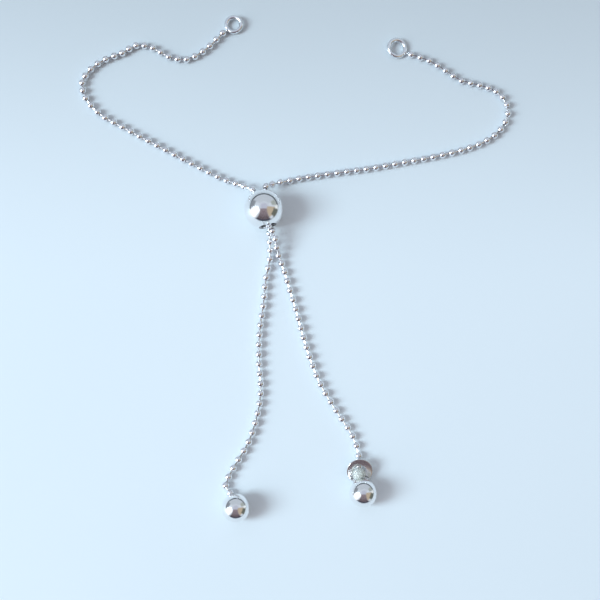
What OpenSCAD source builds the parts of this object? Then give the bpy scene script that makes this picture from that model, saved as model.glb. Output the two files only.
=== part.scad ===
// Adjustable bracelet of two ball chains, lying open on a flat surface.
// Each chain starts at a small closed ring, runs round one half of the loop, passes through
// the sliding ball beside the other chain, and ends in a small ball.
// The loop is open between the two rings, where a charm or connector is fastened.
// Millimetres, +Z up, z = 0 is the surface, and +Y runs from the end balls to the slider.

/* [Chain] */
// Outer diameter of one hollow bead
bead_d = 1.3; // [1.26:0.01:1.31]
// Thickness of a bead's wall
bead_wall = 0.14; // [0.12:0.01:0.15]
// Distance from bead to bead where the chain is drawn out
bead_pitch = 1.7; // [1.69:0.01:1.73]
// Diameter of the pin between two beads
pin_d = 0.26; // [0.2:0.01:0.28]
// Diameter of the pin's head, which a bead holds captive
pin_head_d = 0.6; // [0.56:0.01:0.62]
// Diameter of the hole that a pin enters by
pin_hole_d = 0.48; // [0.46:0.01:0.5]

/* [Slider] */
// Diameter of the sliding ball
slider_d = 6.75; // [6.65:0.05:6.85]
// Thickness of the ball's wall
slider_wall = 0.4; // [0.3:0.05:0.5]
// Diameter of the way through the ball
slider_bore_d = 3; // [2.98:0.01:3.1]
// Outer diameter of the collar at each mouth
slider_collar_d = 3.4; // [3.35:0.05:3.6]
// Length from one collar's face to the other's
slider_length = 6; // [5.95:0.05:6.1]
// Turn of the bore away from the length of the bracelet
slider_turn = 13; // [11:1:15]

/* [End balls] */
// Diameter of the ball at the end of each chain
end_ball_d = 4.6; // [4.5:0.02:4.62]
// Thickness of an end ball's wall
end_ball_wall = 0.3; // [0.25:0.05:0.4]

/* [End rings] */
// Outer diameter of the left ring
left_ring_d = 3.45; // [3.3:0.05:3.5]
// Outer diameter of the right ring
right_ring_d = 3.8; // [3.6:0.05:3.85]
// Diameter of the rings' round wire
ring_wire_d = 0.75; // [0.65:0.01:0.77]
// Lift of a ring's free side, in degrees
ring_tilt = 10; // [8:1:12]

/* [Stopper] */
// Outer diameter of the dished disc beside the right end ball
disc_d = 4.3; // [4.1:0.05:4.3]
// Diameter of the disc's hole
disc_hole_d = 2; // [1.98:0.01:2.1]
// Thickness of the disc
disc_wall = 0.22; // [0.18:0.01:0.24]
// Height of the disc's rim above the edge of its hole
disc_dish = 0.06; // [0.04:0.01:0.08]
// Angle of the disc's axis above the surface
disc_lean = 65; // [64:1:66]
// Diameter of the clear rubber bead between the disc and the end ball
core_d = 2.25; // [2.2:0.01:2.3]

/* [Hidden] */

silver = "gainsboro";
bright_silver = "whitesmoke";
clear_rubber = "lightcyan";

// Smallest clearance between two loose pieces
clear = 0.1;
// Height of a bead's centre where the chain lies on the surface
lie = bead_d / 2;
// Spare length of a tool that cuts right through
over = 1;
$fn = 48;

slider_at = [-5.75, 7.55, slider_d / 2];
ball_left_at = [-10.2, -42.6, end_ball_d / 2];
ball_right_at = [10.75, -40.3, end_ball_d / 2];
ring_left_at = [-11.25, 42.5, 0.61];
ring_right_at = [18.2, 38.45, 0.64];
// Directions from the end balls back to the last bead of their chains
left_catch = [-0.33, 0.77, -0.54];
right_catch = [-0.17, 0.96, -0.207];
// The bead behind the disc, and the middle of the disc, which the chain passes through
bead_behind = [10.25, -35.9, 0.75];
disc_at = [10.33, -36.76, 1.3];
// The middle of the rubber bead, measured from the chain's last bead
core_off = [-0.08, 0.12, 0];

// Distance of each chain from the bore's axis inside the slider
strand_off = 0.73;

// A place in the slider's own directions: across the bore, along it towards the rings, and up
function in_slider(across, along, up) =
    slider_at + [across * cos(slider_turn) - along * sin(slider_turn),
                 across * sin(slider_turn) + along * cos(slider_turn), up];

// A place of a chain inside the bore; side is 180 for the left chain and 0 for the right one
function in_bore(side, along, twist) =
    in_slider(strand_off * cos(side + twist), along, strand_off * sin(side + twist));

// The last bead of a chain, which touches its end ball but for the clearance
function last_bead(ball_at, catch) =
    ball_at + (end_ball_d / 2 + clear + bead_d / 2) * catch / norm(catch);

// Where the head of the last pin hangs inside the end ball
function catch_point(ball_at, catch) =
    ball_at + (end_ball_d / 2 - end_ball_wall - clear - pin_head_d / 2) * catch / norm(catch);

// One row of a route: a place, how far apart the beads sit there (1 is drawn out),
// and whether a bead sits exactly on it
function row(place, spread, held) = [place[0], place[1], place[2], spread, held];

route_left = [
    row([-13.2, 40.8, lie], 1, true),
    row([-16.8, 37.2, lie], 1, false),
    row([-19.6, 35.7, lie], 0.95, false),
    row([-22.9, 36.2, lie], 1, false),
    row([-25.7, 37.8, lie], 0.95, false),
    row([-28.6, 38.2, lie], 0.86, true),
    row([-30.9, 36.8, lie], 0.88, false),
    row([-33.8, 35.6, lie], 1, false),
    row([-36.5, 33.6, lie], 0.95, true),
    row([-37.9, 31, lie], 0.86, false),
    row([-37.2, 28.2, lie], 0.95, true),
    row([-35, 25.6, lie], 1, false),
    row([-30.5, 22.9, lie], 1.02, false),
    row([-24.4, 19.6, lie], 1.02, false),
    row([-18.4, 16.4, lie], 1, false),
    row([-12.3, 13.4, lie], 1, true),
    row([-10.7, 12.8, 0.8], 1, false),
    row([-9.2, 12.1, 1.4], 1, false),
    row([-7.75, 11.4, 2], 1, true),
    row(in_bore(180, 2.9, 25), 0.85, true),
    row(in_bore(180, 1.45, 45), 0.85, true),
    row(in_bore(180, 0, 65), 0.85, true),
    row(in_bore(180, -1.4, 85), 0.85, true),
    row(in_bore(180, -2.8, 104), 0.85, true),
    row([-4.8, 3.6, 2], 0.9, false),
    row([-4.7, 2.25, 1.35], 0.9, true),
    row([-4.65, 0.9, 0.85], 0.88, false),
    row([-4.7, -0.6, lie], 0.95, true),
    row([-5.3, -3.6, lie], 1, false),
    row([-5.8, -8.7, lie], 1, false),
    row([-6.4, -13, lie], 1, false),
    row([-6.5, -18.9, lie], 1, false),
    row([-6.2, -23.3, lie], 1, false),
    row([-6.8, -27.5, lie], 1, false),
    row([-8.4, -32.3, lie], 1, false),
    row([-10.2, -35.3, lie], 1, false),
    row([-11.5, -37.6, lie], 0.95, true),
    row([-11.95, -39, lie], 0.9, true),
    row(last_bead(ball_left_at, left_catch), 0.9, true)
];

route_right = [
    row([20.7, 37.2, lie], 1, true),
    row([23.9, 36.1, lie], 1, false),
    row([26.8, 34.3, lie], 1, false),
    row([29.6, 32.4, lie], 1, false),
    row([32.8, 31.6, lie], 0.95, false),
    row([35.9, 30.4, lie], 0.9, true),
    row([37.6, 28.4, lie], 0.95, false),
    row([37.9, 26.2, lie], 1, false),
    row([36.5, 23.3, lie], 0.95, true),
    row([33.9, 21.2, lie], 1, false),
    row([30.7, 19.8, lie], 1, false),
    row([25.7, 18.4, lie], 1.02, false),
    row([19, 17, lie], 1.02, false),
    row([12.2, 15.7, lie], 1.02, false),
    row([5.4, 14.7, lie], 1.02, false),
    row([-1.2, 13.5, lie], 0.97, true),
    row([-2.8, 13.1, 0.9], 1, false),
    row([-4.2, 12.5, 1.7], 1, false),
    row(in_slider(1.3, 4, -0.4), 1, true),
    row(in_bore(0, 2.6, 0), 1, true),
    row(in_bore(0, 0.87, 28), 1, true),
    row(in_bore(0, -0.87, 54), 1, true),
    row(in_bore(0, -2.6, 80), 1, true),
    row([-4.3, 3.7, 3.35], 0.95, true),
    row([-3.75, 2.4, 2.45], 0.86, false),
    row([-3.5, 1.2, 1.85], 0.86, false),
    row([-3.2, 0, 1.2], 0.86, false),
    row([-2.65, -1.4, 0.7], 0.88, true),
    row([-2.15, -2.8, lie], 0.95, false),
    row([-1.3, -5.8, lie], 1, false),
    row([-0.3, -9.1, lie], 1, false),
    row([1, -14, lie], 1, false),
    row([2.5, -18.8, lie], 1, false),
    row([3.8, -22, lie], 1, false),
    row([5.5, -25, lie], 1, false),
    row([7.4, -28, lie], 1, false),
    row([9.2, -30.8, lie], 1, false),
    row([10.25, -34.18, lie], 1, true),
    row(bead_behind, 1, true),
    row(last_bead(ball_right_at, right_catch), 1, true)
];

// Number of short steps that the curve between two rows of a route is measured in
span_steps = 8;

function gap(route, i) = norm([for (k = [0:2]) route[i + 1][k] - route[i][k]]);

function shape_of(route) = [for (r = route) [r[0], r[1], r[2], r[3]]];

// Slope of the curve at row i, from its neighbours, nearer ones counting more
function slope(p, i) =
    i == 0 ? (p[1] - p[0]) / gap(p, 0) :
    i == len(p) - 1 ? (p[i] - p[i - 1]) / gap(p, i - 1) :
    let (before = gap(p, i - 1), after = gap(p, i))
    (after * (p[i] - p[i - 1]) / before + before * (p[i + 1] - p[i]) / after) / (before + after);

// A point of the smooth curve, t of the way from row i to row i + 1
function curve(p, i, t) =
    let (h = gap(p, i), u = t * t, v = t * t * t)
    (2 * v - 3 * u + 1) * p[i] + (v - 2 * u + t) * h * slope(p, i)
    + (3 * u - 2 * v) * p[i + 1] + (v - u) * h * slope(p, i + 1);

function samples(p) = concat(
    [for (i = [0:len(p) - 2]) for (k = [0:span_steps - 1]) curve(p, i, k / span_steps)],
    [p[len(p) - 1]]);

// Running length along the samples, in which a stretch of close beads counts for more
function running(s) = [
    for (i = 0, w = 0; i < len(s);
         w = w + (i + 1 < len(s) ? gap(s, i) / ((s[i][3] + s[i + 1][3]) / 2) : 0), i = i + 1) w
];

// Running lengths of all beads: evenly spread between each two rows that hold a bead
function bead_marks(route, w) =
    let (held = [for (i = [0:len(route) - 1]) if (route[i][4]) w[i * span_steps]])
    concat(
        [for (j = [0:len(held) - 2])
            let (n = max(1, round((held[j + 1] - held[j]) / bead_pitch)))
            for (k = [0:n - 1]) held[j] + (held[j + 1] - held[j]) * k / n],
        [held[len(held) - 1]]);

// The centres of all beads of a chain, none lower than where a bead lies on the surface
function bead_places(route) =
    let (s = samples(shape_of(route)), w = running(s))
    [for (m = bead_marks(route, w))
        let (p = [for (axis = [0:2]) lookup(m, [for (i = [0:len(s) - 1]) [w[i], s[i][axis]]])])
        [p[0], p[1], max(p[2], lie)]];

beads_left = bead_places(route_left);
beads_right = bead_places(route_right);

// A straight round rod from one place to another
module rod(from, to, d) {
    way = to - from;
    translate(from)
        rotate([0, acos(way[2] / norm(way)), atan2(way[1], way[0])])
            cylinder(d = d, h = norm(way));
}

// A ball whose seam is turned to the side of a way, so that no hole or pin along the way meets it
module ball(at, d, way) {
    translate(at)
        rotate([0, 0, atan2(way[1], way[0]) + 90])
            sphere(d = d);
}

// One bead: a hollow ball that holds the head of the pin from before,
// with its own pin and head reaching to the centre of what comes after
module bead(before, at, after) {
    way = after - before;
    difference() {
        union() {
            ball(at, bead_d, way);
            rod(at, after, pin_d);
        }
        ball(at, bead_d - 2 * bead_wall, way);
        rod(at, before, pin_hole_d);
    }
    ball(after, pin_head_d, way);
}

// A whole chain, from the ring's solder joint to the head inside the end ball
module chain(beads, joint, catch) {
    places = concat([joint], beads, [catch]);
    for (i = [1:len(places) - 2]) {
        bead(places[i - 1], places[i], places[i + 1]);
    }
}

// The middle of the ring's wire on the side where the chain is soldered on
function ring_joint(ring_at, ring_d, first) =
    let (way = first - ring_at, flat = norm([way[0], way[1]]), r = (ring_d - ring_wire_d) / 2)
    ring_at + r * [way[0] / flat * cos(ring_tilt), way[1] / flat * cos(ring_tilt), -sin(ring_tilt)];

// A closed ring of round wire, with the pin that is soldered to it and held by the first bead
module end_ring(ring_at, ring_d, first) {
    way = first - ring_at;
    // Both half turns keep the seams of the round shapes away from the solder joint
    translate(ring_at)
        rotate([0, ring_tilt, atan2(way[1], way[0])])
            rotate([0, 0, 180])
                rotate_extrude()
                    translate([(ring_d - ring_wire_d) / 2, 0]) rotate(180) circle(d = ring_wire_d);
    rod(ring_joint(ring_at, ring_d, first), first, pin_d);
    ball(first, pin_head_d, way);
}

module ring_left() {
    color(silver) end_ring(ring_left_at, left_ring_d, beads_left[0]);
}

module ring_right() {
    color(silver) end_ring(ring_right_at, right_ring_d, beads_right[0]);
}

module chain_left() {
    color(silver)
        chain(beads_left, ring_joint(ring_left_at, left_ring_d, beads_left[0]),
              catch_point(ball_left_at, left_catch));
}

module chain_right() {
    color(silver)
        chain(beads_right, ring_joint(ring_right_at, right_ring_d, beads_right[0]),
              catch_point(ball_right_at, right_catch));
}

// The hollow sliding ball, with a collar round each mouth of its bore
module slider() {
    color(bright_silver)
        translate(slider_at)
            rotate([90, 0, slider_turn])
                difference() {
                    union() {
                        sphere(d = slider_d);
                        cylinder(d = slider_collar_d, h = slider_length, center = true);
                    }
                    sphere(d = slider_d - 2 * slider_wall);
                    cylinder(d = slider_bore_d, h = slider_length + 2 * over, center = true);
                }
}

// A hollow end ball, with the hole that the last pin enters by
module end_ball(ball_at, catch) {
    color(bright_silver)
        difference() {
            ball(ball_at, end_ball_d, catch);
            ball(ball_at, end_ball_d - 2 * end_ball_wall, catch);
            rod(ball_at, last_bead(ball_at, catch), pin_hole_d);
        }
}

module end_ball_left() {
    end_ball(ball_left_at, left_catch);
}

module end_ball_right() {
    end_ball(ball_right_at, right_catch);
}

// The thin disc, very slightly dished towards the end ball, leaning back on the chain
module stopper_disc() {
    inner = disc_hole_d / 2;
    outer = disc_d / 2;
    steps = 5;
    // Height of the dish's face at radius r, a shallow curve that is steepest at the rim
    function face(r) = disc_dish * pow((r - inner) / (outer - inner), 1.6);
    radii = [for (i = [0:steps]) inner + (outer - inner) * i / steps];
    color(bright_silver)
        translate(disc_at)
            rotate([90 - disc_lean, 0, 0])
                rotate_extrude()
                    polygon(concat([for (r = radii) [r, face(r)]],
                                   [for (i = [steps:-1:0]) [radii[i], face(radii[i]) - disc_wall]]));
}

// The clear rubber bead round the chain's last bead, squeezed flat by the disc behind it
// and hollow by the end ball in front
module stopper_core() {
    front = last_bead(ball_right_at, right_catch);
    way = bead_behind - front;
    color(clear_rubber)
        difference() {
            ball(front + core_off, core_d, way);
            ball(front, bead_d + 2.5 * clear, way);
            ball(ball_right_at, end_ball_d + 2.4 * clear, right_catch);
            translate(disc_at)
                rotate([90 - disc_lean, 0, 0])
                    translate([0, 0, -disc_d])
                        cylinder(d = 2 * disc_d, h = disc_d + disc_dish + 1.2 * clear);
        }
}

ring_left();
ring_right();
chain_left();
chain_right();
slider();
end_ball_left();
end_ball_right();
stopper_disc();
stopper_core();
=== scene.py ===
"""Adjustable bracelet of two ball chains with a sliding ball, lying open on a pale surface."""

import math

import bpy
from mathutils import Matrix, Vector


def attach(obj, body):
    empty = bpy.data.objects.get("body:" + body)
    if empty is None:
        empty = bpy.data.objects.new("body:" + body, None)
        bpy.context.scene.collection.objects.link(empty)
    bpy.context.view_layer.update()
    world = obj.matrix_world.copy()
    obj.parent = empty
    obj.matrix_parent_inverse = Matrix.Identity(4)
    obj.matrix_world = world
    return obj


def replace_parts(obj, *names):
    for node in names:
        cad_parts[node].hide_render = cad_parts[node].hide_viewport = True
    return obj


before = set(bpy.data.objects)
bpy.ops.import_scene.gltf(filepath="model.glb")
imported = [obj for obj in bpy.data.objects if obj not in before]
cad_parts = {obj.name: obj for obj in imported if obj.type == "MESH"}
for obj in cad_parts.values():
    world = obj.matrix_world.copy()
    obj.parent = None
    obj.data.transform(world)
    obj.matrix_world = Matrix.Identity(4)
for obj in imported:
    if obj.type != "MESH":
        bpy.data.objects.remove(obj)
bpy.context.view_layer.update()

# ---- Ball chains -------------------------------------------------------------------------------
# Two chains of sterling silver beads on short pins. A real bead is hollow and closed round the
# head of the pin before it, so the beads slide together where the chain is slack. Everything
# else on the bracelet is placed along the chains, so they come first.

MM = 0.001  # every size below is in millimetres, as on the bench, and Blender works in metres

BEAD_D = 1.3
BEAD_PITCH = 1.7
PIN_D = 0.26
LIE = BEAD_D / 2  # height of a bead's centre where it lies on the surface
CLEAR = 0.1  # clearance between two loose pieces
BEAD_SIDES = 12
BEAD_BANDS = 7  # the caps that this leaves at the two ends, 0.56 mm wide, become the pin holes
HOLE_DEPTH = 0.14
HOLE_FACE = 0.9  # a bead's face is part of its end cap from this share of the radius on
PIN_SIDES = 6
PIN_BURIED = 0.3  # how near a pin's ends come to the centres of its two beads
SPAN_STEPS = 8

SLIDER_D = 6.75
SLIDER_TURN = math.radians(13)
SLIDER_AT = Vector((-5.75, 7.55, SLIDER_D / 2))
STRAND_OFF = 0.73

END_BALL_D = 4.6
BALL_LEFT_AT = Vector((-10.2, -42.6, END_BALL_D / 2))
BALL_RIGHT_AT = Vector((10.75, -40.3, END_BALL_D / 2))
LEFT_CATCH = Vector((-0.33, 0.77, -0.54)).normalized()
RIGHT_CATCH = Vector((-0.17, 0.96, -0.207)).normalized()

BEAD_BEHIND = Vector((10.25, -35.9, 0.75))  # the bead behind the disc on the right chain


def in_slider(across, along, up):
    """A place in the sliding ball's own directions: across its bore, along it, and up."""
    cos, sin = math.cos(SLIDER_TURN), math.sin(SLIDER_TURN)
    return SLIDER_AT + Vector((across * cos - along * sin, across * sin + along * cos, up))


def in_bore(side, along, twist):
    """A place of a chain inside the bore; side is 180 for the left chain and 0 for the right."""
    turn = math.radians(side + twist)
    return in_slider(STRAND_OFF * math.cos(turn), along, STRAND_OFF * math.sin(turn))


def last_bead(ball_at, catch):
    """The last bead of a chain, which touches its end ball but for the clearance."""
    return ball_at + (END_BALL_D / 2 + CLEAR + BEAD_D / 2) * catch


# Each row: a place, how far apart the beads sit there as a share of BEAD_PITCH, and whether a
# bead sits on it
ROUTE_LEFT = [
    ((-13.2, 40.8, LIE), 1, True),
    ((-16.8, 37.2, LIE), 1, False),
    ((-19.6, 35.7, LIE), 0.95, False),
    ((-22.9, 36.2, LIE), 1, False),
    ((-25.7, 37.8, LIE), 0.95, False),
    ((-28.6, 38.2, LIE), 0.86, True),
    ((-30.9, 36.8, LIE), 0.88, False),
    ((-33.8, 35.6, LIE), 1, False),
    ((-36.5, 33.6, LIE), 0.95, True),
    ((-37.9, 31, LIE), 0.86, False),
    ((-37.2, 28.2, LIE), 0.95, True),
    ((-35, 25.6, LIE), 1, False),
    ((-30.5, 22.9, LIE), 1.02, False),
    ((-24.4, 19.6, LIE), 1.02, False),
    ((-18.4, 16.4, LIE), 1, False),
    ((-12.3, 13.4, LIE), 1, True),
    ((-10.7, 12.8, 0.8), 1, False),
    ((-9.2, 12.1, 1.4), 1, False),
    ((-7.75, 11.4, 2), 1, True),
    (in_bore(180, 2.9, 25), 0.85, True),
    (in_bore(180, 1.45, 45), 0.85, True),
    (in_bore(180, 0, 65), 0.85, True),
    (in_bore(180, -1.4, 85), 0.85, True),
    (in_bore(180, -2.8, 104), 0.85, True),
    ((-4.8, 3.6, 2), 0.9, False),
    ((-4.7, 2.25, 1.35), 0.9, True),
    ((-4.65, 0.9, 0.85), 0.88, False),
    ((-4.7, -0.6, LIE), 0.95, True),
    ((-5.3, -3.6, LIE), 1, False),
    ((-5.8, -8.7, LIE), 1, False),
    ((-6.4, -13, LIE), 1, False),
    ((-6.5, -18.9, LIE), 1, False),
    ((-6.2, -23.3, LIE), 1, False),
    ((-6.8, -27.5, LIE), 1, False),
    ((-8.4, -32.3, LIE), 1, False),
    ((-10.2, -35.3, LIE), 1, False),
    ((-11.5, -37.6, LIE), 0.95, True),
    ((-11.95, -39, LIE), 0.9, True),
    (last_bead(BALL_LEFT_AT, LEFT_CATCH), 0.9, True),
]

ROUTE_RIGHT = [
    ((20.7, 37.2, LIE), 1, True),
    ((23.9, 36.1, LIE), 1, False),
    ((26.8, 34.3, LIE), 1, False),
    ((29.6, 32.4, LIE), 1, False),
    ((32.8, 31.6, LIE), 0.95, False),
    ((35.9, 30.4, LIE), 0.9, True),
    ((37.6, 28.4, LIE), 0.95, False),
    ((37.9, 26.2, LIE), 1, False),
    ((36.5, 23.3, LIE), 0.95, True),
    ((33.9, 21.2, LIE), 1, False),
    ((30.7, 19.8, LIE), 1, False),
    ((25.7, 18.4, LIE), 1.02, False),
    ((19, 17, LIE), 1.02, False),
    ((12.2, 15.7, LIE), 1.02, False),
    ((5.4, 14.7, LIE), 1.02, False),
    ((-1.2, 13.5, LIE), 0.97, True),
    ((-2.8, 13.1, 0.9), 1, False),
    ((-4.2, 12.5, 1.7), 1, False),
    (in_slider(1.3, 4, -0.4), 1, True),
    (in_bore(0, 2.6, 0), 1, True),
    (in_bore(0, 0.87, 28), 1, True),
    (in_bore(0, -0.87, 54), 1, True),
    (in_bore(0, -2.6, 80), 1, True),
    ((-4.3, 3.7, 3.35), 0.95, True),
    ((-3.75, 2.4, 2.45), 0.86, False),
    ((-3.5, 1.2, 1.85), 0.86, False),
    ((-3.2, 0, 1.2), 0.86, False),
    ((-2.65, -1.4, 0.7), 0.88, True),
    ((-2.15, -2.8, LIE), 0.95, False),
    ((-1.3, -5.8, LIE), 1, False),
    ((-0.3, -9.1, LIE), 1, False),
    ((1, -14, LIE), 1, False),
    ((2.5, -18.8, LIE), 1, False),
    ((3.8, -22, LIE), 1, False),
    ((5.5, -25, LIE), 1, False),
    ((7.4, -28, LIE), 1, False),
    ((9.2, -30.8, LIE), 1, False),
    ((10.25, -34.18, LIE), 1, True),
    (BEAD_BEHIND, 1, True),
    (last_bead(BALL_RIGHT_AT, RIGHT_CATCH), 1, True),
]


def bead_places(route):
    """The centres of all beads of a chain, evenly spread between each two rows that hold one."""
    rows = [Vector((*place, spread)) for place, spread, held in route]
    gaps = [(b - a).xyz.length for a, b in zip(rows, rows[1:])]
    rises = [(b - a) / g for a, b, g in zip(rows, rows[1:], gaps)]
    slopes = [
        (after * rise + before * next_rise) / (before + after)
        for before, after, rise, next_rise in zip(gaps, gaps[1:], rises, rises[1:])
    ]
    slopes = [rises[0], *slopes, rises[-1]]
    curve = []
    for i, length in enumerate(gaps):
        for step in range(SPAN_STEPS):
            t = step / SPAN_STEPS
            u, v = t * t, t * t * t
            curve.append(
                (2 * v - 3 * u + 1) * rows[i]
                + (v - 2 * u + t) * length * slopes[i]
                + (3 * u - 2 * v) * rows[i + 1]
                + (v - u) * length * slopes[i + 1]
            )
    curve.append(rows[-1])
    run = [0.0]
    for a, b in zip(curve, curve[1:]):
        run.append(run[-1] + (b - a).xyz.length / ((a.w + b.w) / 2))
    held = [run[i * SPAN_STEPS] for i, (place, spread, holds) in enumerate(route) if holds]
    marks = []
    for a, b in zip(held, held[1:]):
        count = max(1, round((b - a) / BEAD_PITCH))
        marks += [a + (b - a) * k / count for k in range(count)]
    marks.append(held[-1])
    places, i = [], 0
    for mark in marks:
        while i < len(run) - 2 and run[i + 1] < mark:
            i += 1
        share = (mark - run[i]) / (run[i + 1] - run[i])
        place = curve[i].lerp(curve[i + 1], share).xyz
        places.append(Vector((place.x, place.y, max(place.z, LIE))))
    return places


def only(*pieces):
    """Selects these pieces alone, the first one active, because operators act on the selection."""
    bpy.ops.object.select_all(action="DESELECT")
    for piece in pieces:
        piece.select_set(True)
    bpy.context.view_layer.objects.active = pieces[0]


def edit_faces(piece, test=lambda middle: True):
    """Opens a piece for editing with the faces selected whose middle passes a test, or all."""
    only(piece)
    bpy.context.tool_settings.mesh_select_mode = (False, False, True)
    for part in (*piece.data.vertices, *piece.data.edges):
        part.select = False
    for face in piece.data.polygons:
        face.select = test(face.center)
    bpy.ops.object.mode_set(mode="EDIT")


def copy_to(model, at, way, stretch=1):
    """A copy with its own mesh, moved to a place, its length turned along a way and stretched."""
    copy = model.copy()
    copy.data = model.data.copy()
    bpy.context.collection.objects.link(copy)
    copy.location = at * MM
    copy.rotation_euler = way.to_track_quat("Z", "Y").to_euler()
    copy.scale = (1, 1, stretch)
    return copy


def settle(*pieces, name, angle=40):
    """Joins pieces into one of that name, puts its place in its mesh and shades it smooth."""
    for piece in pieces:
        only(piece)
        bpy.ops.object.transform_apply()
    only(*pieces)
    if len(pieces) > 1:
        bpy.ops.object.join()
    bpy.ops.object.shade_smooth_by_angle(angle=math.radians(angle))
    joined = bpy.context.object
    joined.name = joined.data.name = name
    return joined


def add(tree, kind, inputs=(), **settings):
    """Adds a node with its settings; each input is a number, a colour or another's output."""
    new = tree.nodes.new(kind)
    for name, value in settings.items():
        setattr(new, name, value)
    for name, value in dict(inputs).items():
        if isinstance(value, bpy.types.NodeSocket):
            tree.links.new(value, new.inputs[name])
        else:
            new.inputs[name].default_value = value
    return new


def linear(code):
    """An sRGB hex colour as linear red, green, blue and alpha."""
    parts = [int(code[i : i + 2], 16) / 255 for i in (1, 3, 5)]
    return [p / 12.92 if p <= 0.04045 else ((p + 0.055) / 1.055) ** 2.4 for p in parts] + [1]


def blend(tree, under, over, mask):
    """Mixes two colours, each four numbers or a node's output: the second shows at mask 1."""
    mix = add(tree, "ShaderNodeMix", {"Factor": mask}, data_type="RGBA")
    # the Mix node keeps its colour sockets after those for numbers and vectors
    for socket, value in zip(mix.inputs[6:8], (under, over)):
        if isinstance(value, bpy.types.NodeSocket):
            tree.links.new(value, socket)
        else:
            socket.default_value = value
    return mix.outputs[2]


def polished_silver(name, bright, dull, gloss, haze, patch, dent):
    """Sterling silver, 92.5 % silver with copper, buffed and tumbled to a mirror.
    It reflects the room almost whole. Wear gives it hairline scratches, which spread the
    highlights a little, and a thin uneven tarnish that greys it. Patch is the width of a tarnished
    patch and dent the depth of the ripple that buffing leaves, both in millimetres."""
    material = bpy.data.materials.new(name)
    material.use_nodes = True
    tree = material.node_tree
    shader = tree.nodes["Principled BSDF"]
    place = add(tree, "ShaderNodeTexCoord").outputs["Object"]
    tarnish = add(
        tree,
        "ShaderNodeTexNoise",
        {"Vector": place, "Scale": 1 / (patch * MM), "Detail": 3, "Roughness": 0.6},
    )
    colour = blend(tree, linear(dull), linear(bright), tarnish.outputs["Fac"])
    # Real scratches are a few hundredths of a millimetre apart; these are drawn about a tenth apart
    along = add(tree, "ShaderNodeMapping", {"Vector": place, "Scale": (1, 9, 1)})
    along.inputs["Rotation"].default_value = (0.4, 0.3, 0.8)
    scratch = add(
        tree,
        "ShaderNodeTexNoise",
        {"Vector": along.outputs["Vector"], "Scale": 1 / (0.9 * MM), "Detail": 6},
    )
    rough = add(
        tree,
        "ShaderNodeMapRange",
        {
            "Value": scratch.outputs["Fac"],
            "From Min": 0.35,
            "From Max": 0.75,
            "To Min": gloss,
            "To Max": haze,
        },
    )
    ripple = add(
        tree,
        "ShaderNodeTexNoise",
        {"Vector": place, "Scale": 1 / (0.8 * MM), "Detail": 1},
    )
    bump = add(
        tree,
        "ShaderNodeBump",
        {"Height": ripple.outputs["Fac"], "Distance": dent * MM, "Strength": 1},
    )
    shader.inputs["Metallic"].default_value = 1
    tree.links.new(colour, shader.inputs["Base Color"])
    tree.links.new(rough.outputs["Result"], shader.inputs["Roughness"])
    tree.links.new(bump.outputs["Normal"], shader.inputs["Normal"])
    return material


# Fine chain is tumbled in steel shot after it is closed, so every bead has the same even shine
chain_silver = polished_silver(
    "Tumbled_sterling_silver", "#FEFDFE", "#EDEBEF", gloss=0.08, haze=0.18, patch=1.6, dent=0.004
)

bpy.ops.object.select_all(action="DESELECT")
bpy.ops.mesh.primitive_uv_sphere_add(
    segments=BEAD_SIDES, ring_count=BEAD_BANDS, radius=BEAD_D / 2 * MM
)
bead = bpy.context.object
for end in (1, -1):
    edit_faces(bead, lambda middle: middle.z * end > HOLE_FACE * BEAD_D / 2 * MM)
    bpy.ops.mesh.dissolve_faces()
    bpy.ops.mesh.extrude_region_move(
        TRANSFORM_OT_translate={"value": (0, 0, -end * HOLE_DEPTH * MM)}
    )
    bpy.ops.object.mode_set(mode="OBJECT")
bpy.ops.object.select_all(action="DESELECT")
bpy.ops.mesh.primitive_cylinder_add(vertices=PIN_SIDES, radius=PIN_D / 2 * MM, depth=MM)
pin = bpy.context.object


def ball_chain(name, joint, beads, ball_at):
    """One whole chain, from the ring's solder joint to the end ball."""
    line = [joint, *beads, ball_at]
    parts = []
    for before, at, after in zip(line, line[1:], line[2:]):
        parts.append(copy_to(bead, at, after - before))
    for a, b in zip(line[1:], line[2:]):
        way = b - a
        parts.append(copy_to(pin, (a + b) / 2, way, stretch=way.length - 2 * PIN_BURIED))
    chain = settle(*parts, name=name)
    chain.data.materials.append(chain_silver)
    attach(chain, "root")
    return chain


RING_TILT = math.radians(10)
RING_WIRE_D = 0.75
LEFT_RING_D = 3.45
RIGHT_RING_D = 3.8
RING_LEFT_AT = Vector((-11.25, 42.5, 0.61))
RING_RIGHT_AT = Vector((18.2, 38.45, 0.64))


def ring_joint(ring_at, ring_d, first):
    """The middle of the ring's wire on the side where the chain is soldered on."""
    way = (first - ring_at) * Vector((1, 1, 0))
    way = way.normalized() * math.cos(RING_TILT) - Vector((0, 0, math.sin(RING_TILT)))
    return ring_at + way * (ring_d - RING_WIRE_D) / 2


beads_left = bead_places(ROUTE_LEFT)
beads_right = bead_places(ROUTE_RIGHT)
joint_left = ring_joint(RING_LEFT_AT, LEFT_RING_D, beads_left[0])
joint_right = ring_joint(RING_RIGHT_AT, RIGHT_RING_D, beads_right[0])
for name, joint, beads, ball_at in (
    ("chain_of_beads_left", joint_left, beads_left, BALL_LEFT_AT + LEFT_CATCH),
    ("chain_of_beads_right", joint_right, beads_right, BALL_RIGHT_AT + RIGHT_CATCH),
):
    chain = ball_chain(name, joint, beads, ball_at)
    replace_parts(chain, name.replace("chain_of_beads", "chain"))
for model in (bead, pin):
    bpy.data.objects.remove(model)

# ---- End rings ---------------------------------------------------------------------------------
# A closed jump ring of round silver wire at the free end of each chain, for whatever is fastened
# there. It is soldered shut, and the pin that the first bead holds is soldered to it too.

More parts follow.
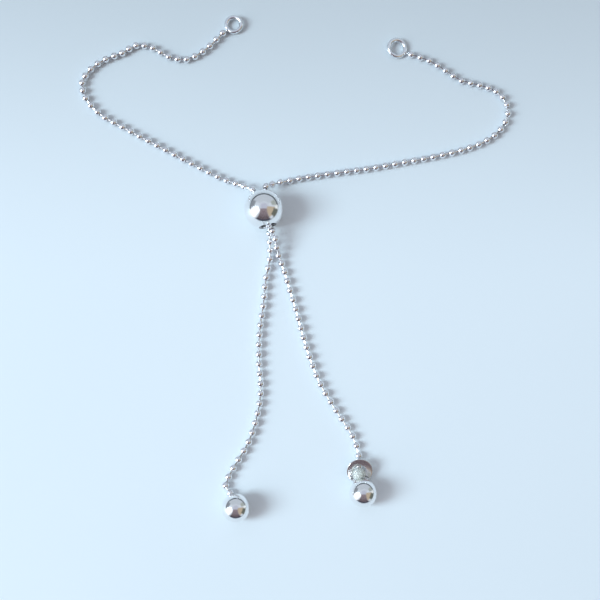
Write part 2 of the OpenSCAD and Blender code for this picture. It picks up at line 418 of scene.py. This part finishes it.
SOLDER_D = 0.76
SOLDER_STRETCH = (0.9, 0.9, 1.15)  # the drop is drawn out along the pin
SOLDER_OUT = 0.12  # how far it is drawn towards the first bead
RING_SEGMENTS = 64
WIRE_SEGMENTS = 20

# Rings are sawn from a coil of drawn wire and tumbled after soldering, so their shine is softer
ring_silver = polished_silver(
    "Soldered_sterling_wire", "#FDFEFF", "#EBEDF1", gloss=0.12, haze=0.3, patch=1.2, dent=0.004
)


def combine(piece, other, operation):
    """Adds another piece to this one for good, or cuts it away."""
    only(piece)
    step = piece.modifiers.new("combine", "BOOLEAN")
    step.operation, step.object, step.solver = operation, other, "EXACT"
    bpy.ops.object.modifier_apply(modifier=step.name)
    bpy.data.objects.remove(other)


def end_ring(name, ring_at, ring_d, joint, first):
    """A ring of wire, with a drop of solder that runs out along the pin."""
    way = first - ring_at
    bpy.ops.object.select_all(action="DESELECT")
    bpy.ops.mesh.primitive_torus_add(
        major_segments=RING_SEGMENTS,
        minor_segments=WIRE_SEGMENTS,
        major_radius=(ring_d - RING_WIRE_D) / 2 * MM,
        minor_radius=RING_WIRE_D / 2 * MM,
        location=ring_at * MM,
        rotation=(0, RING_TILT, math.atan2(way.y, way.x)),
    )
    wire = bpy.context.object
    reach = first - joint
    bpy.ops.mesh.primitive_uv_sphere_add(segments=20, ring_count=14, radius=SOLDER_D / 2 * MM)
    drop = bpy.context.object
    drop.location = (joint + reach.normalized() * SOLDER_OUT) * MM
    drop.rotation_euler = reach.to_track_quat("Z", "Y").to_euler()
    drop.scale = SOLDER_STRETCH
    bpy.ops.mesh.primitive_cylinder_add(
        vertices=16, radius=PIN_D / 2 * MM, depth=(reach.length - PIN_BURIED) * MM
    )
    stem = bpy.context.object
    stem.location = (joint + reach * (1 - PIN_BURIED / reach.length) / 2) * MM
    stem.rotation_euler = reach.to_track_quat("Z", "Y").to_euler()
    for part in (wire, drop, stem):
        only(part)
        bpy.ops.object.transform_apply()
    for part in (drop, stem):
        combine(wire, part, "UNION")
    ring = settle(wire, name=name, angle=50)
    ring.data.materials.append(ring_silver)
    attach(ring, "root")
    return ring


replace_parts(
    end_ring("end_ring_left", RING_LEFT_AT, LEFT_RING_D, joint_left, beads_left[0]), "ring_left"
)
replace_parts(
    end_ring("end_ring_right", RING_RIGHT_AT, RIGHT_RING_D, joint_right, beads_right[0]),
    "ring_right",
)

# ---- Sliding ball ------------------------------------------------------------------------------
# A hollow ball pressed from silver sheet in two halves and soldered. Both chains pass through it
# side by side and lie free in it. It should have a short collar at each mouth of its bore, which
# is missing: see the note where its rims are drawn.

SLIDER_WALL = 0.4
BORE_D = 3
COLLAR_D = 3.4
SLIDER_LENGTH = 6
COLLAR_ROUND = 0.08
SLIDER_SEGMENTS = 72
SLIDER_RINGS = 40

# Pressed balls are buffed on a soft wheel, the brightest finish on the bracelet
ball_silver = polished_silver(
    "Mirror_polished_sterling", "#FDFCFB", "#F1F0F1", gloss=0.1, haze=0.18, patch=3, dent=0.006
)


def open_shell(d, mouth_d, segments, rings, ends):
    """A ball with its surface cut away beyond the mouths at the ends of its length.
    Known fault: bisect counts corners within 0.1 mm of its plane as on it and leaves them. So the
    sliding ball's mouths come out 0.15 to 0.17 mm too narrow in radius, and an end ball isn't cut
    at all. With threshold=1e-7 both are cut as meant."""
    bpy.ops.object.select_all(action="DESELECT")
    bpy.ops.mesh.primitive_uv_sphere_add(segments=segments, ring_count=rings, radius=d / 2 * MM)
    shell = bpy.context.object
    height = math.sqrt(d * d - mouth_d * mouth_d) / 2 * MM
    for end in ends:
        edit_faces(shell)
        bpy.ops.mesh.bisect(
            plane_co=(0, 0, end * height), plane_no=(0, 0, end), clear_outer=True
        )
        bpy.ops.object.mode_set(mode="OBJECT")
    return shell


def edit_rim(piece, z, r):
    """Opens a piece for editing with the rim selected that lies at a height and radius."""
    near_z, near_r = 0.01 * MM, 0.03 * MM
    only(piece)
    bpy.context.tool_settings.mesh_select_mode = (True, False, False)
    for part in (*piece.data.edges, *piece.data.polygons):
        part.select = False
    for corner in piece.data.vertices:
        level = abs(corner.co.z - z * MM) < near_z
        corner.select = level and abs(corner.co.xy.length - r * MM) < near_r
    bpy.ops.object.mode_set(mode="EDIT")


def extrude_rim(up, spread):
    """Draws the selected rim on by a height, and widens it."""
    bpy.ops.mesh.extrude_edges_move(TRANSFORM_OT_translate={"value": (0, 0, up * MM)})
    bpy.ops.transform.resize(value=(spread, spread, 1))


def line_shell(shell, d, mouth_d, segments, rings, ends):
    """Gives a shell its inner surface, facing inwards, and merges rim corners that coincide.
    None do as yet, because of the fault that open_shell names."""
    lining = open_shell(d, mouth_d, segments, rings, ends)
    edit_faces(lining)
    bpy.ops.mesh.flip_normals()
    bpy.ops.object.mode_set(mode="OBJECT")
    only(shell, lining)
    bpy.ops.object.join()
    edit_faces(shell)
    bpy.ops.mesh.remove_doubles(threshold=0.005 * MM)
    bpy.ops.object.mode_set(mode="OBJECT")


def round_edges(piece, radius, angle):
    """Rounds the edges that are sharper than an angle, as tumbling does."""
    only(piece)
    soften = piece.modifiers.new("rounded edges", "BEVEL")
    soften.width, soften.segments, soften.limit_method = radius * MM, 4, "ANGLE"
    soften.angle_limit = math.radians(angle)
    bpy.ops.object.modifier_apply(modifier=soften.name)


slider = open_shell(SLIDER_D, COLLAR_D, SLIDER_SEGMENTS, SLIDER_RINGS, (1, -1))
outer_mouth = math.sqrt(SLIDER_D**2 - COLLAR_D**2) / 2
inner_d = SLIDER_D - 2 * SLIDER_WALL
inner_mouth = math.sqrt(inner_d**2 - BORE_D**2) / 2
# Known fault: after that cut edit_rim finds no rim here, so neither collars nor bore wall are
# drawn, and round_edges has nothing to round
for end in (1, -1):
    edit_rim(slider, end * outer_mouth, COLLAR_D / 2)
    extrude_rim(end * (SLIDER_LENGTH / 2 - outer_mouth), 1)
    extrude_rim(0, BORE_D / COLLAR_D)
    extrude_rim(end * (inner_mouth - SLIDER_LENGTH / 2), 1)
    bpy.ops.object.mode_set(mode="OBJECT")
line_shell(slider, inner_d, BORE_D, SLIDER_SEGMENTS, SLIDER_RINGS, (1, -1))
round_edges(slider, COLLAR_ROUND, 60)
slider.rotation_euler = (math.radians(90), 0, SLIDER_TURN)
slider.location = SLIDER_AT * MM
slider = settle(slider, name="sliding_ball", angle=35)
slider.data.materials.append(ball_silver)
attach(slider, "root")
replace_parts(slider, "slider")

# ---- End balls ---------------------------------------------------------------------------------
# A small hollow silver ball closes the end of each chain and stops the sliding ball. The chain's
# last pin runs into it, through a skin that should have a hole there: see end_ball.

END_BALL_WALL = 0.3
PIN_HOLE_D = 0.48
BALL_SEGMENTS = 56
BALL_RINGS = 32


def end_ball(name, at, catch):
    """A hollow ball, meant to have one small hole towards the chain.
    Known fault: the cut that open_shell makes leaves both skins whole, and the hole's wall stands
    between them, open at its inner end."""
    shell = open_shell(END_BALL_D, PIN_HOLE_D, BALL_SEGMENTS, BALL_RINGS, (1,))
    inner_d = END_BALL_D - 2 * END_BALL_WALL
    mouth = math.sqrt(END_BALL_D**2 - PIN_HOLE_D**2) / 2
    inner_mouth = math.sqrt(inner_d**2 - PIN_HOLE_D**2) / 2
    edit_rim(shell, mouth, PIN_HOLE_D / 2)
    extrude_rim(inner_mouth - mouth, 1)
    bpy.ops.object.mode_set(mode="OBJECT")
    line_shell(shell, inner_d, PIN_HOLE_D, BALL_SEGMENTS, BALL_RINGS, (1,))
    shell.rotation_euler = catch.to_track_quat("Z", "Y").to_euler()
    shell.location = at * MM
    ball = settle(shell, name=name, angle=35)
    ball.data.materials.append(ball_silver)
    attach(ball, "root")
    return ball


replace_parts(end_ball("closing_ball_left", BALL_LEFT_AT, LEFT_CATCH), "end_ball_left")
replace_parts(end_ball("closing_ball_right", BALL_RIGHT_AT, RIGHT_CATCH), "end_ball_right")

# ---- Rubber bead -------------------------------------------------------------------------------
# A small bead of clear silicone rubber, moulded round the right chain's last bead. It sits
# between the disc and the end ball and is shaped to both.

DISC_AT = Vector((10.33, -36.76, 1.3))
DISC_LEAN = math.radians(65)  # of its axis, up from the surface
DISC_DISH = 0.06
CORE_D = 2.25
CORE_OFF = Vector((-0.08, 0.12, 0))  # its middle, measured from the last bead's
SQUEEZE_GAP = 1.2 * CLEAR  # between the bead and the flat or round side that squeezes it
CAVITY_GAP = 1.25 * CLEAR  # between its cavity and the chain's last bead

clear_rubber = bpy.data.materials.new("Moulded_clear_silicone")
clear_rubber.use_nodes = True
tree = clear_rubber.node_tree
shader = tree.nodes["Principled BSDF"]
place = add(tree, "ShaderNodeTexCoord").outputs["Object"]
# Silicone is slightly milky and bends light a little less than glass. Its skin takes the
# unevenness of the mould, and handling dulls it.
grain = add(tree, "ShaderNodeTexNoise", {"Vector": place, "Scale": 1 / (0.6 * MM), "Detail": 1})
cloud = add(tree, "ShaderNodeTexNoise", {"Vector": place, "Scale": 1 / (0.7 * MM), "Detail": 2})
tint = blend(tree, linear("#F0F3EC"), linear("#FBFCF9"), cloud.outputs["Fac"])
rough = add(
    tree,
    "ShaderNodeMapRange",
    {"Value": grain.outputs["Fac"], "To Min": 0.16, "To Max": 0.36},
)
bump = add(
    tree,
    "ShaderNodeBump",
    {"Height": grain.outputs["Fac"], "Distance": 0.03 * MM, "Strength": 0.6},
)
tree.links.new(tint, shader.inputs["Base Color"])
tree.links.new(rough.outputs["Result"], shader.inputs["Roughness"])
tree.links.new(bump.outputs["Normal"], shader.inputs["Normal"])
shader.inputs["IOR"].default_value = 1.41
shader.inputs["Transmission Weight"].default_value = 0.6

core_front = last_bead(BALL_RIGHT_AT, RIGHT_CATCH)
core_way = (BEAD_BEHIND - core_front).to_track_quat("Z", "Y").to_euler()
bpy.ops.object.select_all(action="DESELECT")
bpy.ops.mesh.primitive_uv_sphere_add(
    segments=48,
    ring_count=28,
    radius=CORE_D / 2 * MM,
    location=(core_front + CORE_OFF) * MM,
    rotation=core_way,
)
core = bpy.context.object
bpy.ops.mesh.primitive_uv_sphere_add(
    segments=40,
    ring_count=24,
    radius=(BEAD_D / 2 + CAVITY_GAP) * MM,
    location=core_front * MM,
    rotation=core_way,
)
cavity = bpy.context.object
bpy.ops.mesh.primitive_uv_sphere_add(
    segments=64,
    ring_count=40,
    radius=(END_BALL_D / 2 + SQUEEZE_GAP) * MM,
    location=BALL_RIGHT_AT * MM,
)
ball_side = bpy.context.object
disc_turn = Matrix.Rotation(math.radians(90) - DISC_LEAN, 3, "X")
beyond = 4  # all that lies this far behind the disc's face is cut away
face_at = DISC_AT + disc_turn @ Vector((0, 0, DISC_DISH + SQUEEZE_GAP - beyond / 2))
bpy.ops.mesh.primitive_cylinder_add(
    vertices=48,
    radius=beyond * MM,
    depth=beyond * MM,
    location=face_at * MM,
    rotation=disc_turn.to_euler(),
)
disc_side = bpy.context.object
for tool in (cavity, ball_side, disc_side):
    combine(core, tool, "DIFFERENCE")
core = settle(core, name="clear_rubber_bead", angle=50)
core.data.materials.append(clear_rubber)
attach(core, "root")
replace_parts(core, "stopper_core")

# ---- Stopper disc ------------------------------------------------------------------------------
# A thin round of silver sheet with a hole, dished a little between punches. It is threaded on the
# right chain behind the rubber bead and leans back, hollow side towards the end ball.

DISC_D = 4.3
DISC_HOLE_D = 2
DISC_WALL = 0.22
RIM_ROUND = 0.09
DISC_SEGMENTS = 72
DISC_STEPS = 5
DISC_CURVE = 1.6  # above 1 the dish is flat at the hole and steepest at the rim

# Punched sheet is only tumbled, and handling has greyed it more than the balls
disc_silver = polished_silver(
    "Punched_sterling_sheet", "#F5F3F1", "#CFCBCC", gloss=0.1, haze=0.24, patch=1.4, dent=0.006
)

bpy.ops.object.select_all(action="DESELECT")
bpy.ops.mesh.primitive_circle_add(vertices=DISC_SEGMENTS, radius=DISC_HOLE_D / 2 * MM)
disc = bpy.context.object
only(disc)
bpy.ops.object.mode_set(mode="EDIT")
bpy.ops.mesh.select_all(action="SELECT")
last_r, last_z = DISC_HOLE_D / 2, 0
for step in range(1, DISC_STEPS + 1):
    r = (DISC_HOLE_D + (DISC_D - DISC_HOLE_D) * step / DISC_STEPS) / 2
    z = DISC_DISH * (step / DISC_STEPS) ** DISC_CURVE
    extrude_rim(z - last_z, r / last_r)
    last_r, last_z = r, z
bpy.ops.mesh.select_all(action="SELECT")
bpy.ops.mesh.normals_make_consistent(inside=False)
bpy.ops.object.mode_set(mode="OBJECT")
if sum(face.normal.z for face in disc.data.polygons) < 0:
    edit_faces(disc)
    bpy.ops.mesh.flip_normals()
    bpy.ops.object.mode_set(mode="OBJECT")
wall = disc.modifiers.new("sheet", "SOLIDIFY")
wall.thickness, wall.offset = DISC_WALL * MM, -1
bpy.ops.object.modifier_apply(modifier=wall.name)
round_edges(disc, RIM_ROUND, 50)
disc.rotation_euler = (math.radians(90) - DISC_LEAN, 0, 0)
disc.location = DISC_AT * MM
disc = settle(disc, name="thin_disc", angle=35)
disc.data.materials.append(disc_silver)
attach(disc, "root")
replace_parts(disc, "stopper_disc")

# ---- Studio ------------------------------------------------------------------------------------
# A pale lacquered table top under a grey ceiling, with daylight from one window on the left.
# Polished silver shows its surroundings, so the room has soft patches of light and shade.

FLOOR_SIZE = 3000
FALLOFF_SHADE_FROM, FALLOFF_SHADE_TO = -8, 70  # where the painted shade of the light falling off starts towards the table's back, and where it ends
FALLOFF_SHADE_MOST = 0.31

floor_paint = bpy.data.materials.new("Pale_lacquered_board")
floor_paint.use_nodes = True
tree = floor_paint.node_tree
shader = tree.nodes["Principled BSDF"]
place = add(tree, "ShaderNodeTexCoord").outputs["Object"]
# Sprayed lacquer has a faint orange-peel of about a millimetre and hardly any colour variation
peel = add(tree, "ShaderNodeTexNoise", {"Vector": place, "Scale": 1 / (1.5 * MM), "Detail": 2})
shade = add(tree, "ShaderNodeTexNoise", {"Vector": place, "Scale": 1 / (60 * MM), "Detail": 1})
paint = blend(tree, linear("#E6EDF2"), linear("#EBF1F6"), shade.outputs["Fac"])
bump = add(
    tree,
    "ShaderNodeBump",
    {"Height": peel.outputs["Fac"], "Distance": 0.01 * MM, "Strength": 0.2},
)
# Painted shade: the table top is painted darker towards its back, where the light falls off
parts = add(tree, "ShaderNodeSeparateXYZ", {"Vector": place})
falloff_shade = add(
    tree,
    "ShaderNodeMapRange",
    {
        "Value": parts.outputs["Y"],
        "From Min": FALLOFF_SHADE_FROM * MM,
        "From Max": FALLOFF_SHADE_TO * MM,
        "To Max": FALLOFF_SHADE_MOST,
    },
    interpolation_type="SMOOTHSTEP",
)
paint = blend(tree, paint, linear("#000000"), falloff_shade.outputs["Result"])
tree.links.new(paint, shader.inputs["Base Color"])
tree.links.new(bump.outputs["Normal"], shader.inputs["Normal"])
shader.inputs["Roughness"].default_value = 0.55
shader.inputs["Specular IOR Level"].default_value = 0.3
bpy.ops.object.select_all(action="DESELECT")
bpy.ops.mesh.primitive_plane_add(size=FLOOR_SIZE * MM)
floor = bpy.context.object
floor.name = "table_top"
floor.data.materials.append(floor_paint)

# Directions in the room are given as azimuth, 0 to the right and 90 to the back, and elevation
WINDOW_AZIMUTH = math.radians(190)
WINDOW_ELEVATION = math.radians(38)
WINDOW_AWAY = 1100
WINDOW_WIDTH = 340
WINDOW_HEIGHT = 490
WINDOW_WATTS = 10.4
bpy.ops.object.light_add(type="AREA")
window = bpy.context.object
window.name = "window"
window.data.shape = "RECTANGLE"
window.data.size, window.data.size_y = WINDOW_WIDTH * MM, WINDOW_HEIGHT * MM
window.data.energy = WINDOW_WATTS
window.data.color = linear("#D4EEFB")[:3]
towards = Vector(
    (
        math.cos(WINDOW_AZIMUTH) * math.cos(WINDOW_ELEVATION),
        math.sin(WINDOW_AZIMUTH) * math.cos(WINDOW_ELEVATION),
        math.sin(WINDOW_ELEVATION),
    )
)
window.location = towards * WINDOW_AWAY * MM
window.rotation_euler = towards.to_track_quat("Z", "Y").to_euler()
window.visible_camera = False

room = bpy.data.worlds.new("Room")
bpy.context.scene.world = room
room.use_nodes = True
tree = room.node_tree
tree.nodes.clear()
way = add(tree, "ShaderNodeTexCoord").outputs["Generated"]
parts = add(tree, "ShaderNodeSeparateXYZ", {"Vector": way})
# Each patch of the room: azimuth from and to, elevation from and to, soft edge, all in degrees,
# its colour and how many times as bright it is. A patch covers those before it.
ROOM = [
    (-200, 200, 66, 95, 22, "#A9AFC0", 1),
    (-200, 200, -5, 4, 3, "#7D8890", 1),
    (40, 140, 12, 58, 12, "#ADB7C2", 1),
    (20, 184, -4, 9, 4, "#252D36", 1),
    (140, 172, 2, 33, 8, "#7C838C", 1),
    (183, 222, -1, 57, 16, "#FBFCFF", 1.3),
    (300, 366, 20, 72, 8, "#AB9F8D", 1),
    (320, 360, 2, 32, 6, "#5F635C", 1),
    (360, 376, 2, 22, 5, "#D5DBDC", 1),
    (376, 402, 10, 42, 8, "#969E9C", 1),
]
CEILING = "#BDC7D2"
ROOM_LIGHT = 1.22
# The dark side of the room leans over the table: it is a band about the front, wider lower down.
# It is measured across the sphere of directions, so 1 is all of it to one side.
BAND_MIDDLE = -0.04
BAND_WIDTH = 0.31
BAND_SPREAD = 0.32
BAND_SOFT = 0.06
BAND_BACK = (-0.12, -0.22)  # it fades in between these, so none of it is behind the table
WALL_LIGHTENS = (0.15, 1.2)  # its elevations, in radians, between which it turns lighter
WALL_FOOT = (0.12, 0.3)  # and between which its dark foot ends
THINGS_FINE = 11
THINGS_EDGE = (0.45, 0.75)


def ramp(value, low, high):
    """A smooth rise from 0 at one value to 1 at another."""
    return add(
        tree,
        "ShaderNodeMapRange",
        {"Value": value, "From Min": low, "From Max": high},
        interpolation_type="SMOOTHSTEP",
    ).outputs["Result"]


def maths(operation, *values):
    """One sum on numbers or the outputs of nodes."""
    return add(tree, "ShaderNodeMath", enumerate(values), operation=operation).outputs[0]


azimuth = maths("ARCTAN2", parts.outputs["Y"], parts.outputs["X"])
elevation = maths("ARCSINE", parts.outputs["Z"])
colour = linear(CEILING)
for west, east, low, high, soft, code, times in ROOM:
    turned = maths("SUBTRACT", azimuth, math.radians((west + east) / 2))
    off = maths("ABSOLUTE", maths("WRAP", turned, math.pi, -math.pi))
    half = (east - west) / 2
    across = ramp(off, math.radians(half + soft / 2), math.radians(half - soft / 2))
    above = ramp(elevation, math.radians(low - soft / 2), math.radians(low + soft / 2))
    below = ramp(elevation, math.radians(high + soft / 2), math.radians(high - soft / 2))
    mask = maths("MULTIPLY", across, maths("MULTIPLY", above, below))
    colour = blend(tree, colour, [times * part for part in linear(code)], mask)

aside = maths("ABSOLUTE", maths("SUBTRACT", parts.outputs["X"], BAND_MIDDLE))
reach = maths("MULTIPLY_ADD", parts.outputs["Z"], -BAND_SPREAD, BAND_WIDTH + BAND_SPREAD)
inside = ramp(maths("SUBTRACT", aside, reach), BAND_SOFT, -BAND_SOFT)
front = ramp(parts.outputs["Y"], *BAND_BACK)
mask = maths("MULTIPLY", inside, maths("MULTIPLY", front, ramp(elevation, 0, BAND_SOFT)))
# It is mauve grey, lighter above, with brown things about it, and darkest along the table
wall = blend(tree, linear("#5A545B"), linear("#857C84"), ramp(elevation, *WALL_LIGHTENS))
things = add(tree, "ShaderNodeTexNoise", {"Vector": way, "Scale": THINGS_FINE, "Detail": 4})
wall = blend(tree, wall, linear("#4E3A3A"), ramp(things.outputs["Fac"], *THINGS_EDGE))
wall = blend(tree, linear("#383C4A"), wall, ramp(elevation, *WALL_FOOT))
colour = blend(tree, colour, wall, mask)
background = add(tree, "ShaderNodeBackground", {"Color": colour, "Strength": ROOM_LIGHT})
add(tree, "ShaderNodeOutputWorld", {"Surface": background.outputs[0]})

# The picture is taken by hand from nearly straight above, a little way in front of the bracelet
CAMERA_AT = Vector((-6.535, -35.974, 165.6))
LENS = 58.5
SENSOR = 36
LOOK = Vector((0.0420093, 0.16849008, -0.98480775))
PICTURE_UP = Vector((-0.00356616, 0.9856969, 0.16849008))
bpy.ops.object.camera_add()
camera = bpy.context.object
camera.name = "camera"
camera.data.lens = LENS
camera.data.sensor_width = SENSOR
camera.data.clip_start = 10 * MM
camera.location = CAMERA_AT * MM
picture_right = LOOK.cross(PICTURE_UP)
camera.rotation_euler = Matrix((picture_right, PICTURE_UP, -LOOK)).transposed().to_euler()
bpy.context.scene.camera = camera
bpy.context.scene.view_settings.view_transform = "Standard"
